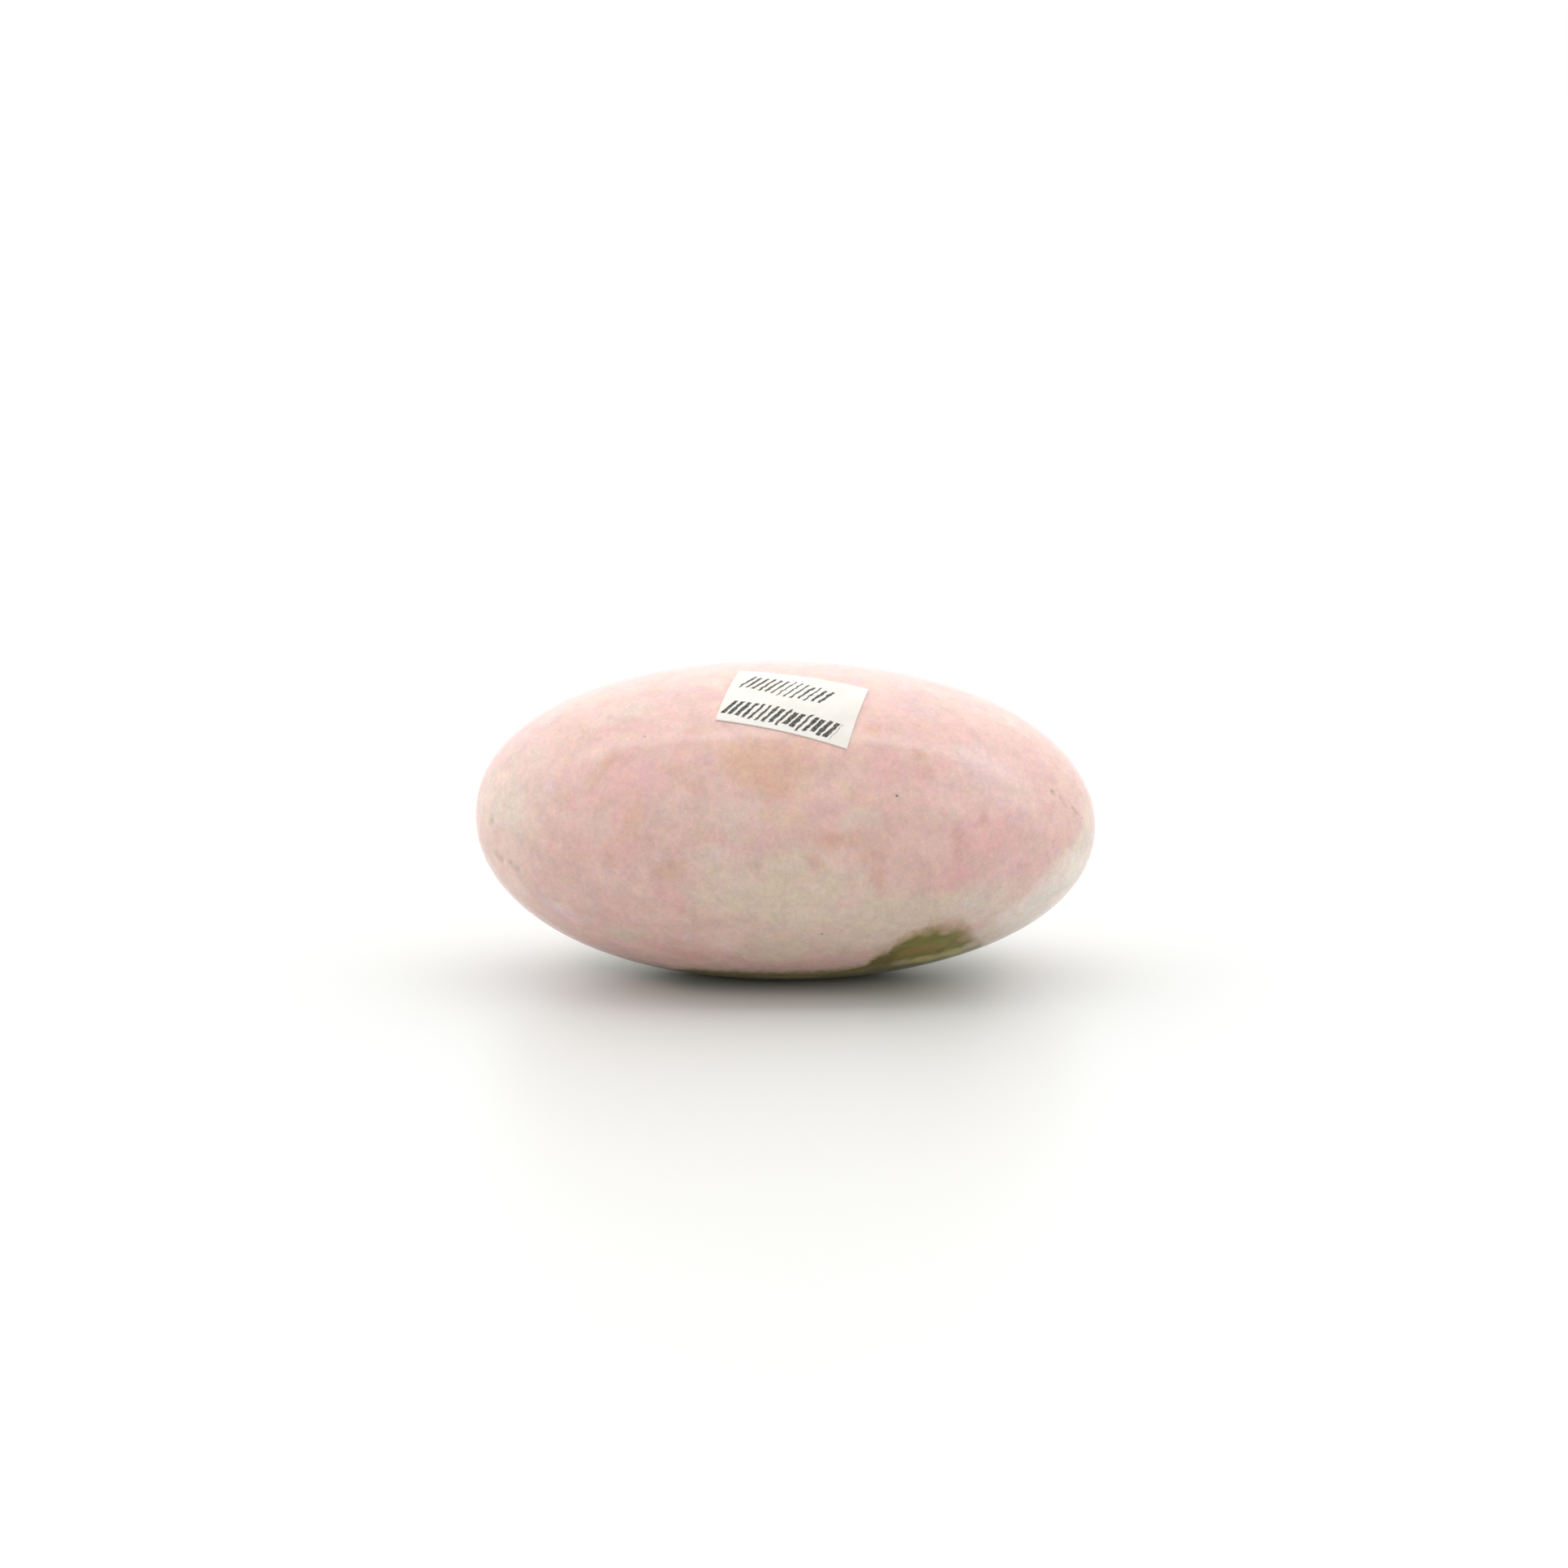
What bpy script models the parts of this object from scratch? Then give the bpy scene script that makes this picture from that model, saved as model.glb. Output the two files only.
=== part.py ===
"""A polished pebble of tugtupite with a small paper label stuck on it, in metres, +Z up.

The stone lies on the small flat at its lowest point. The origin is on that flat's level, under the
middle of the stone. Its long axis lies along X, and the label is on its upper front, towards -Y.
"""

import math

import bmesh
import bpy
from mathutils import Matrix, Vector

# The stone: an ovoid with three different half-sizes, before its ends and shoulders are shaped
HALF_LENGTH = 0.02504
HALF_DEPTH = 0.0140
HALF_HEIGHT = 0.01282
END_BIAS = 0.0048
SHOULDER_FULLNESS = 0.0079
SHOULDER_TWIST = 0.0031
ROLL = math.radians(0.9)
FOOT_CUT = 0.00037
STONE_SUBDIVISIONS = 5

# The label: a rectangle of paper laid along the stone's curve
LABEL_LENGTH = 0.0105
LABEL_WIDTH = 0.0071
LABEL_THICKNESS = 0.00015
LABEL_GAP = 0.0003
LABEL_X = 0.0005
LABEL_Y = -0.0070
LABEL_TURN = math.radians(-14.2)
LABEL_CELL = 0.0006

# Where a drop onto the stone starts above its target, how far it may go, and how often it is halved
DROP_START = 0.002
DROP_REACH = 0.016
DROP_STEPS = 40
SLOPE_STEP = 1e-6
SMOOTH_ANGLE = math.radians(30)

STONE_COLOUR = (0.68, 0.46, 0.42)
STONE_ROUGHNESS = 0.12
LABEL_COLOUR = (0.88, 0.86, 0.82)
LABEL_ROUGHNESS = 0.75

HALF_SIZES = Vector((HALF_LENGTH, HALF_DEPTH, HALF_HEIGHT))
LIE = Matrix.Rotation(ROLL, 4, "Y")


def clear_scene():
    for item in list(bpy.data.objects):
        bpy.data.objects.remove(item)


def make_material(name, colour, roughness):
    material = bpy.data.materials.new(name)
    material.use_nodes = True
    shader = material.node_tree.nodes["Principled BSDF"]
    shader.inputs["Base Color"].default_value = (*colour, 1)
    shader.inputs["Roughness"].default_value = roughness
    shader.inputs["Metallic"].default_value = 0
    return material


def swell(direction):
    """How far the surface stands out of the plain ovoid in a direction, as a factor near 1."""
    around = complex(direction.x, direction.z)
    ends = END_BIAS * (around**3).real
    shoulders = SHOULDER_FULLNESS * (around**4).real
    twist = SHOULDER_TWIST * (around**4).imag
    return 1 + ends - shoulders - twist


def surface_point(direction):
    """The stone's surface in a direction of the unit sphere, before the stone is laid down."""
    return direction * HALF_SIZES * swell(direction)


def level(point):
    """Under 1 inside the stone, 1 on its surface and over 1 outside."""
    squeezed = Vector(value / half for value, half in zip(point, HALF_SIZES))
    return squeezed.length / swell(squeezed.normalized())


def surface_normal(point):
    slope = Vector()
    for axis in range(3):
        step = Vector()
        step[axis] = SLOPE_STEP
        slope[axis] = level(point + step) - level(point - step)
    return slope.normalized()


def drop(point, up):
    """The point where a line from just above a point, down against up, meets the stone."""
    near, far = 0.0, DROP_REACH
    start = point + up * DROP_START
    for _ in range(DROP_STEPS):
        middle = (near + far) / 2
        if level(start - up * middle) > 1:
            near = middle
        else:
            far = middle
    return start - up * near


def object_from(name, shape, material):
    mesh = bpy.data.meshes.new(name)
    shape.to_mesh(mesh)
    shape.free()
    mesh.materials.append(material)
    mesh.shade_smooth()
    mesh.set_sharp_from_angle(angle=SMOOTH_ANGLE)
    item = bpy.data.objects.new(name, mesh)
    bpy.context.collection.objects.link(item)
    return item


def stone_shape():
    """The whole ovoid, rolled as it lies, with its foot cut flat."""
    shape = bmesh.new()
    bmesh.ops.create_icosphere(shape, subdivisions=STONE_SUBDIVISIONS, radius=1)
    for vertex in shape.verts:
        vertex.co = LIE @ surface_point(vertex.co.normalized())
    foot_level = min(vertex.co.z for vertex in shape.verts) + FOOT_CUT
    bmesh.ops.bisect_plane(
        shape,
        geom=shape.verts[:] + shape.edges[:] + shape.faces[:],
        plane_co=(0, 0, foot_level),
        plane_no=(0, 0, -1),
        clear_outer=True,
    )
    rim = [edge for edge in shape.edges if edge.is_boundary]
    bmesh.ops.contextual_create(shape, geom=rim)
    bmesh.ops.recalc_face_normals(shape, faces=shape.faces)
    return shape


def label_shape():
    """Two like grids of points, the paper's under side and its face, joined along their edges."""
    centre = drop(Vector((LABEL_X, LABEL_Y, HALF_HEIGHT)), Vector((0, 0, 1)))
    up = surface_normal(centre)
    side = Vector((1, 0, 0)) - up * up.x
    side.normalize()
    along = Matrix.Rotation(LABEL_TURN, 3, up) @ side
    across = up.cross(along)
    columns = round(LABEL_LENGTH / LABEL_CELL)
    rows = round(LABEL_WIDTH / LABEL_CELL)

    def paper_point(column, row, height):
        offset_along = (column / columns - 0.5) * LABEL_LENGTH
        offset_across = (row / rows - 0.5) * LABEL_WIDTH
        foot = drop(centre + along * offset_along + across * offset_across, up)
        return LIE @ (foot + surface_normal(foot) * height)

    shape = bmesh.new()
    sheets = []
    for height in (LABEL_GAP, LABEL_GAP + LABEL_THICKNESS):
        sheet = [
            [shape.verts.new(paper_point(column, row, height)) for row in range(rows + 1)]
            for column in range(columns + 1)
        ]
        sheets.append(sheet)
        for column in range(columns):
            for row in range(rows):
                here, beside = sheet[column], sheet[column + 1]
                shape.faces.new((here[row], beside[row], beside[row + 1], here[row + 1]))
    under, face = (edge_loop(sheet) for sheet in sheets)
    for index, corner in enumerate(under):
        shape.faces.new((corner, under[index - 1], face[index - 1], face[index]))
    bmesh.ops.recalc_face_normals(shape, faces=shape.faces)
    return shape


def edge_loop(sheet):
    """The points round the edge of a grid of points, in order."""
    first, last = sheet[0], sheet[-1]
    near = [column[0] for column in sheet]
    far = [column[-1] for column in sheet]
    return near[:-1] + last[:-1] + far[:0:-1] + first[:0:-1]


def stand_on_origin(stone, label):
    """Moves both meshes together, so that the stone's foot is at Z 0 and its middle over the origin."""
    points = [vertex.co for vertex in stone.data.vertices]
    low = Vector(min(point[axis] for point in points) for axis in range(3))
    high = Vector(max(point[axis] for point in points) for axis in range(3))
    shift = Matrix.Translation((-(low.x + high.x) / 2, -(low.y + high.y) / 2, -low.z))
    for item in (stone, label):
        item.data.transform(shift)


def main():
    clear_scene()
    stone_material = make_material("polished_stone", STONE_COLOUR, STONE_ROUGHNESS)
    label_material = make_material("label_paper", LABEL_COLOUR, LABEL_ROUGHNESS)
    stone = object_from("stone", stone_shape(), stone_material)
    label = object_from("label", label_shape(), label_material)
    stand_on_origin(stone, label)
    label.parent = stone


main()
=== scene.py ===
"""The looks of a polished tugtupite pebble with a small paper label, in metres, +Z up.

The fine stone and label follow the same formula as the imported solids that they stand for. Most of what
shows on the stone is placed by pixels of the photograph's frame, each found by a ray from the camera.
"""

import math
from typing import NamedTuple

import bmesh
import bpy
from mathutils import Matrix, Vector, noise
from mathutils.bvhtree import BVHTree


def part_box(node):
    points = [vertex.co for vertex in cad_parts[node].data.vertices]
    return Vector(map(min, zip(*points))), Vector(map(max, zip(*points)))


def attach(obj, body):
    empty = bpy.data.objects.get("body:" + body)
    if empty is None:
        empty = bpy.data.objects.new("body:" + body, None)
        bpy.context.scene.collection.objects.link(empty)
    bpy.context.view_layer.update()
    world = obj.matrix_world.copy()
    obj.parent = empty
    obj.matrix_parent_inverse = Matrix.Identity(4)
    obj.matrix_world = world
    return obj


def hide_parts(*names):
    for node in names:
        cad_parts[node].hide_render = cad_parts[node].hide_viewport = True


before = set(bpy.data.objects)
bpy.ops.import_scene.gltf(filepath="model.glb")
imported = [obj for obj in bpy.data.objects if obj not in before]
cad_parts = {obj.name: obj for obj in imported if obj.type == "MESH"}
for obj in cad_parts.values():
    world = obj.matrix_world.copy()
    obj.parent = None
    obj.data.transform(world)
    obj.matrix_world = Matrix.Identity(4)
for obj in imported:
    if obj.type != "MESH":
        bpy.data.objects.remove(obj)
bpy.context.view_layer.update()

MM = 0.001

# The photograph's frame, and where in it the middle of the stone lies
FRAME_SIDE = 1932
STONE_PIXEL_Y = 1010.6
FOCAL_PIXELS = 4608
SENSOR_WIDTH = 36
CAMERA_ELEVATION = math.radians(12)
CAMERA_DISTANCE = 0.3
MM_PER_PIXEL = CAMERA_DISTANCE / FOCAL_PIXELS / MM

# The stone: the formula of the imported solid, with finer triangles
HALF_SIZES = Vector((0.02504, 0.0140, 0.01282))
END_BIAS = 0.0048
SHOULDER_FULLNESS = 0.0079
SHOULDER_TWIST = 0.0031
ROLL = math.radians(0.9)
ROUGH_SUBDIVISIONS = 5
FINE_SUBDIVISIONS = 7
SPOT_SUBDIVISIONS = 2
SPOT_REACH = 2.2
DENT_STEEPNESS = 1.5
FOOT_ROUNDING = 0.05 * MM

# The gentle unevenness that tumbling leaves
WAVE_SIZE = 9 * MM
WAVE_HEIGHT = 0.035 * MM
RIPPLE_SIZE = 3.2 * MM
RIPPLE_HEIGHT = 0.006 * MM

# The label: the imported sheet's outline, laid closer to the stone
LABEL_LENGTH = 10.5 * MM
LABEL_WIDTH = 7.1 * MM
LABEL_X = 0.5 * MM
LABEL_Y = -7.0 * MM
LABEL_TURN = math.radians(-14.2)
PAPER_THICKNESS = 0.11 * MM
PAPER_GAP = 0.015 * MM
PAPER_CELL = 0.125 * MM
PAPER_EDGE_ANGLE = math.radians(40)
DROP_START = 2 * MM

# The studio: a white light tent, as the strengths of its parts, where 1 is plain white
TENT_FRONT = 0.64
TENT_LEFT = 2.0
TENT_RIGHT = 1.95
TENT_TOP = 1.82
TENT_BACK = 1.15
TENT_STRIP = 1.0
TENT_SEEN = 1.0
LOW_FRONT = 0.5
LOW_SIDE = 0.75
TENT_RISE = (0.15, 0.8)
TENT_FRONT_SPREAD = (0.35, 0.80)
TENT_TOP_SPREAD = (0.0, 0.75)
TENT_SIDE_SPREAD = (0.5, 1.0)
TENT_EDGE = (-0.20, -0.13)
TENT_STRIP_END = (0.08, -0.06)
TENT_STRIP_SPREAD = (0.72, 0.95)
LOWEST_SLOPE = 0.05
FLOOR_HALF_WIDTH = 4
FLOOR_COLOUR = (0.655, 0.665, 0.65)
FLOOR_ROUGHNESS = 0.38


class Dent(NamedTuple):
    """A pit or nick in the polish: its pixel, its radius and its depth in mm."""

    pixel: tuple
    radius: float
    depth: float


DENTS = {
    "largest pit": Dent((1296, 976), 0.26, 0.10),
    "pit below it": Dent((1306, 984), 0.18, 0.05),
    "middle pit": Dent((1316, 988), 0.16, 0.05),
    "long pit, upper end": Dent((1321, 996), 0.20, 0.08),
    "long pit, lower end": Dent((1328, 1003), 0.22, 0.09),
    "last pit": Dent((1333, 1009), 0.15, 0.06),
    "bruise": Dent((607, 1012), 0.50, 0.07),
    "groove, start": Dent((612, 1053), 0.32, 0.07),
    "groove, second": Dent((620, 1059), 0.34, 0.09),
    "groove, middle": Dent((630, 1064), 0.34, 0.10),
    "groove, fourth": Dent((640, 1071), 0.30, 0.08),
    "groove, end": Dent((650, 1078), 0.26, 0.05),
}

# Colours of the stone, its patch and its marks, as linear red, green and blue
BLUSH = (0.715, 0.475, 0.425)
ROSE = (0.725, 0.432, 0.40)
ROSE_DEEP = (0.67, 0.395, 0.345)
ORCHID = (0.715, 0.45, 0.44)
TAN = (0.665, 0.415, 0.315)
STRAW = (0.70, 0.505, 0.39)
DUN = (0.65, 0.445, 0.375)
MAUVE = (0.66, 0.465, 0.44)
LILAC = (0.74, 0.55, 0.535)
CREAM = (0.68, 0.54, 0.435)
PALE = (0.75, 0.56, 0.49)
MINT = (0.695, 0.57, 0.49)
CHALK = (0.765, 0.665, 0.59)
UMBER = (0.60, 0.44, 0.36)
PEPPER = (0.16, 0.12, 0.09)
OLIVE_BROWN = (0.20, 0.145, 0.026)
OLIVE_GREEN = (0.17, 0.165, 0.032)
OLIVE_DARK = (0.135, 0.095, 0.006)
AMBER = (0.28, 0.175, 0.03)
HONEY = (0.46, 0.37, 0.17)
# The sand colour is the patch's paler honey made lighter still with painted light. It stands in for a
# painted reflection of the bright floor along the patch's foot.
SAND_WITH_PAINTED_FLOOR_LIGHT = (0.62, 0.53, 0.31)
RUSSET = (0.45, 0.305, 0.18)
FAWN = (0.58, 0.48, 0.34)
# The wheat colour is the patch's paler honey made lighter still with painted light. It stands in for a
# painted reflection of the bright floor along the patch's foot.
WHEAT_WITH_PAINTED_FLOOR_LIGHT = (0.75, 0.64, 0.26)
BARK = (0.42, 0.29, 0.20)

# The ways a cloud of colour may be drawn out: how many times along each axis, and at what angle
GRAINS = {
    "round": ((1, 1, 1), 0),
    "wide": ((2, 1, 1), 0),
    "rising": ((2, 1, 1), math.radians(35)),
    "falling": ((2, 1, 1), math.radians(-35)),
    "tall": ((1, 1, 2), 0),
    "deep": ((1, 2.2, 1), 0),
    "broad": ((2, 2.2, 1), 0),
}


class Cloud(NamedTuple):
    """A soft-edged patch of colour: its place, its smaller radius in pixels, and its grain.

    The place is a pixel of the photograph's frame, or a point in mm for a cloud that it doesn't show.
    """

    place: tuple
    radius: float
    grain: str
    colour: tuple
    strength: float


# The stone's clouds of colour, each laid over the ones before it
CLOUDS = {
    "left end, pale haze": Cloud((622, 985), 62, "tall", PALE, 0.8),
    "left end, pale": Cloud((627, 996), 36, "round", MINT, 0.75),
    "left end, pale top": Cloud((606, 960), 20, "round", MINT, 0.6),
    "left end, mauve": Cloud((637, 926), 17, "rising", MAUVE, 0.8),
    "upper left, mauve": Cloud((676, 890), 15, "rising", MAUVE, 0.7),
    "upper left, mint": Cloud((666, 931), 15, "round", MINT, 0.55),
    "upper left, tan": Cloud((698, 935), 10, "round", TAN, 0.45),
    "upper left, pale": Cloud((764, 878), 24, "wide", MINT, 0.55),
    "upper left, straw": Cloud((735, 862), 14, "rising", STRAW, 0.5),
    "top, mauve": Cloud((842, 850), 20, "wide", MAUVE, 0.6),
    "top, mint": Cloud((884, 842), 16, "round", MINT, 0.6),
    "left of label, tan": Cloud((862, 898), 12, "wide", TAN, 0.5),
    "rose field, left": Cloud((770, 965), 42, "round", ROSE, 0.85),
    "rose field, orchid": Cloud((788, 960), 18, "tall", ORCHID, 0.9),
    "rose field, far left": Cloud((701, 988), 13, "round", ROSE, 1.0),
    "rose field, between": Cloud((730, 984), 18, "round", ROSE, 0.95),
    "rose field, dot": Cloud((704, 1016), 9, "round", ROSE, 0.7),
    "rose field, lower": Cloud((766, 1046), 30, "round", ROSE, 0.75),
    "rose field, flank": Cloud((712, 1040), 22, "wide", ROSE, 0.5),
    "tan knot": Cloud((744, 944), 13, "rising", TAN, 0.6),
    "tan knot, lower": Cloud((728, 964), 12, "rising", TAN, 0.45),
    "tan drift": Cloud((784, 1004), 15, "tall", TAN, 0.7),
    "tan drift, dot": Cloud((766, 1022), 13, "round", TAN, 0.6),
    "tan drift, end": Cloud((754, 1049), 14, "round", TAN, 0.65),
    "left, dun": Cloud((659, 1043), 11, "falling", DUN, 0.85),
    "left, lilac dot": Cloud((673, 970), 9, "round", LILAC, 0.7),
    "left, grey gap": Cloud((747, 1010), 11, "tall", CREAM, 0.6),
    "left flank, pale": Cloud((640, 1090), 17, "falling", PALE, 1.0),
    "left flank, lilac": Cloud((688, 1120), 16, "falling", LILAC, 0.8),
    "lower left, lilac dot": Cloud((730, 1114), 11, "round", LILAC, 0.65),
    "lower left, lilac end": Cloud((727, 1131), 10, "wide", LILAC, 0.6),
    "lower left, cream": Cloud((778, 1154), 17, "wide", CREAM, 0.85),
    "lower left, rose": Cloud((764, 1118), 20, "round", ROSE, 0.5),
    "centre left, pale": Cloud((846, 1000), 30, "wide", PALE, 0.4),
    "left centre, tan": Cloud((826, 944), 12, "falling", TAN, 0.55),
    "left centre, dot": Cloud((852, 968), 11, "wide", TAN, 0.4),
    "centre, pale": Cloud((905, 1001), 22, "wide", PALE, 0.9),
    "centre, mint": Cloud((917, 1026), 16, "wide", MINT, 0.5),
    "centre top, tan": Cloud((950, 938), 34, "wide", TAN, 0.8),
    "centre top, tan left": Cloud((905, 932), 18, "wide", TAN, 0.5),
    "centre top, tan tail": Cloud((962, 966), 20, "falling", TAN, 0.85),
    "centre top, knot": Cloud((916, 952), 13, "round", TAN, 0.5),
    "centre top, straw": Cloud((985, 975), 16, "tall", STRAW, 0.7),
    "right of label, tan": Cloud((1075, 899), 13, "round", TAN, 0.8),
    "cream field": Cloud((975, 1108), 58, "wide", CREAM, 1.0),
    "cream field, left": Cloud((886, 1098), 34, "round", CREAM, 0.75),
    "cream field, right": Cloud((1100, 1126), 40, "wide", CREAM, 0.95),
    "cream field, top": Cloud((990, 1062), 28, "wide", CREAM, 0.6),
    "cream field, mint": Cloud((874, 1058), 16, "wide", MINT, 0.5),
    "cream field, pale": Cloud((1045, 1148), 22, "wide", PALE, 0.7),
    "cream field, mauve": Cloud((1044, 1112), 14, "round", ORCHID, 0.45),
    "cream field, umber": Cloud((931, 1068), 8, "tall", UMBER, 0.7),
    "centre, honey line": Cloud((866, 1033), 9, "falling", STRAW, 0.7),
    "centre, straw": Cloud((962, 1011), 16, "wide", STRAW, 0.75),
    "centre, rose haze": Cloud((1010, 1000), 18, "wide", ORCHID, 0.4),
    "lower centre, tan": Cloud((822, 1073), 13, "rising", TAN, 0.65),
    "lower centre, tan dot": Cloud((842, 1061), 8, "round", TAN, 0.6),
    "lower centre, rose": Cloud((828, 1106), 16, "wide", ROSE, 0.8),
    "lower centre, tan spot": Cloud((838, 1118), 9, "round", TAN, 0.7),
    "centre right, mint": Cloud((1061, 1008), 16, "wide", MINT, 0.55),
    "centre right, tan band": Cloud((1036, 1038), 13, "wide", TAN, 0.75),
    "centre right, tan blob": Cloud((1010, 1059), 14, "round", TAN, 0.65),
    "centre right, tan haze": Cloud((1072, 1052), 18, "round", TAN, 0.5),
    "centre right, streak": Cloud((1084, 1080), 12, "tall", TAN, 0.75),
    "upper right, straw": Cloud((1042, 975), 11, "tall", STRAW, 0.6),
    "right, top mauve": Cloud((1132, 872), 24, "falling", MAUVE, 0.7),
    "right, top mint": Cloud((1160, 853), 14, "falling", MINT, 0.6),
    "right, top rose": Cloud((1161, 896), 10, "round", ROSE, 0.45),
    "right, top pale": Cloud((1236, 886), 17, "falling", MINT, 0.6),
    "right, lilac field": Cloud((1228, 958), 36, "falling", LILAC, 0.45),
    "right, lilac": Cloud((1198, 930), 18, "wide", LILAC, 0.4),
    "right, rose upper": Cloud((1092, 940), 16, "wide", ROSE, 0.6),
    "right, rose spot": Cloud((1142, 955), 12, "round", ROSE_DEEP, 0.75),
    "right, rose beside": Cloud((1160, 944), 12, "round", ROSE, 0.7),
    "right, tan spot": Cloud((1133, 932), 8, "tall", TAN, 0.7),
    "right, rose dot": Cloud((1155, 997), 9, "round", ROSE, 0.95),
    "right rim, orchid": Cloud((1283, 947), 14, "tall", ORCHID, 0.95),
    "right rim, upper": Cloud((1264, 926), 12, "round", ORCHID, 0.7),
    "right rim, grey": Cloud((1331, 978), 13, "falling", UMBER, 0.6),
    "rose field, right": Cloud((1214, 1036), 38, "wide", ROSE, 0.85),
    "rose field, core": Cloud((1222, 1034), 17, "round", ROSE, 1.0),
    "rose field, bottom": Cloud((1174, 1076), 20, "wide", ROSE, 0.95),
    "rose field, far right": Cloud((1256, 1068), 17, "wide", ORCHID, 1.0),
    "rose field, end": Cloud((1300, 1046), 13, "rising", ORCHID, 0.8),
    "right, rose streak": Cloud((1251, 1003), 9, "rising", ORCHID, 0.9),
    "right, deep rose": Cloud((1209, 1015), 9, "rising", ROSE_DEEP, 0.8),
    "right, tan core": Cloud((1182, 1040), 13, "tall", ROSE_DEEP, 1.0),
    "right, dun": Cloud((1103, 1010), 11, "wide", DUN, 0.6),
    "right, dun middle": Cloud((1118, 1036), 13, "round", DUN, 0.5),
    "right, dun lower": Cloud((1122, 1064), 17, "wide", DUN, 0.6),
    "right, grey": Cloud((1274, 1026), 12, "round", UMBER, 0.35),
    "right, umber": Cloud((1131, 1096), 10, "round", UMBER, 0.75),
    "right tip, mint": Cloud((1341, 1030), 22, "tall", MINT, 0.9),
    "bottom right, cream": Cloud((1050, 1158), 34, "wide", CREAM, 0.85),
    "bottom right, mint": Cloud((1096, 1150), 24, "rising", MINT, 0.6),
    "lower right, cream": Cloud((1165, 1118), 30, "wide", CREAM, 1.0),
    "lower right, mint": Cloud((1215, 1114), 32, "wide", MINT, 0.9),
    "lower right, chalk": Cloud((1290, 1106), 46, "rising", CHALK, 0.85),
    "lower right, chalk top": Cloud((1326, 1070), 34, "rising", CHALK, 0.85),
    "lower right, chalk edge": Cloud((1284, 1120), 46, "rising", CHALK, 0.85),
    "lower right, chalk foot": Cloud((1240, 1144), 46, "rising", CHALK, 0.85),
    "lower right, chalk end": Cloud((1214, 1156), 34, "wide", MINT, 1.0),
    "lower right, deep": Cloud((1262, 1128), 36, "deep", CHALK, 0.8),
    "lower right, deep foot": Cloud((1196, 1158), 24, "deep", MINT, 0.8),
    "right tip, deep": Cloud((1340, 1032), 27, "deep", MINT, 0.85),
    "left end, deep": Cloud((600, 1000), 22, "deep", MINT, 0.5),
    "right rim, deep": Cloud((1328, 1066), 26, "deep", CHALK, 0.8),
    "above the patch": Cloud((1160, 1130), 18, "wide", UMBER, 0.35),
    "bottom, rose left": Cloud((808, 1168), 14, "falling", ROSE, 0.9),
    "bottom, rose": Cloud((848, 1178), 15, "wide", ROSE_DEEP, 0.9),
    "bottom, cream": Cloud((958, 1168), 34, "wide", CREAM, 0.9),
    "bottom, pale": Cloud((900, 1162), 22, "wide", PALE, 0.5),
    "bottom, umber": Cloud((895, 1180), 11, "wide", UMBER, 0.6),
    "bottom, lilac": Cloud((846, 1150), 10, "round", LILAC, 0.5),
    "bottom, dun": Cloud((984, 1190), 10, "wide", DUN, 0.7),
}

# Clouds out of the camera's sight, each placed in mm, so that the chalky end goes on behind
HIDDEN_CLOUDS = {
    "behind the lower right": Cloud((17.5, 0.0, 4.0), 66, "round", CHALK, 0.85),
    "behind the lower right, drift": Cloud((14.0, 5.5, 3.8), 34, "falling", PALE, 0.8),
    "behind the tip": Cloud((22.6, 0.5, 8.5), 46, "tall", MINT, 0.8),
    "behind the tip, wisp": Cloud((21.0, 5.0, 8.5), 28, "rising", CHALK, 0.6),
    "under the right": Cloud((14.0, 0.5, 2.4), 44, "wide", MINT, 0.7),
}

# Clouds inside the olive patch
PATCH_CLOUDS = {
    "dark left end": Cloud((1082, 1185), 22, "rising", OLIVE_DARK, 0.8),
    "amber": Cloud((1128, 1171), 15, "rising", AMBER, 0.75),
    "amber, right": Cloud((1150, 1167), 12, "wide", AMBER, 0.55),
    "green": Cloud((1163, 1158), 15, "wide", OLIVE_GREEN, 0.7),
    "green, left": Cloud((1136, 1160), 12, "rising", OLIVE_GREEN, 0.6),
    "russet end": Cloud((1189, 1156), 11, "round", RUSSET, 0.6),
    # The three foot clouds are partly the patch's paler honey colour and partly painted light: a painted
    # reflection of the bright floor below the stone.
    "foot, left": Cloud((1114, 1186), 9, "broad", SAND_WITH_PAINTED_FLOOR_LIGHT, 0.5),
    "foot": Cloud((1141, 1182), 11, "broad", WHEAT_WITH_PAINTED_FLOOR_LIGHT, 0.65),
    "foot, right": Cloud((1174, 1174), 11, "broad", WHEAT_WITH_PAINTED_FLOOR_LIGHT, 0.6),
    "pale end": Cloud((1199, 1164), 15, "round", FAWN, 0.9),
    "grey shoulder": Cloud((1110, 1156), 12, "rising", FAWN, 0.75),
    "grey top": Cloud((1142, 1149), 8, "wide", FAWN, 0.3),
    "rim": Cloud((1168, 1142), 9, "wide", RUSSET, 0.9),
    "streak": Cloud((1166, 1149), 6, "wide", DUN, 0.45),
}

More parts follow.
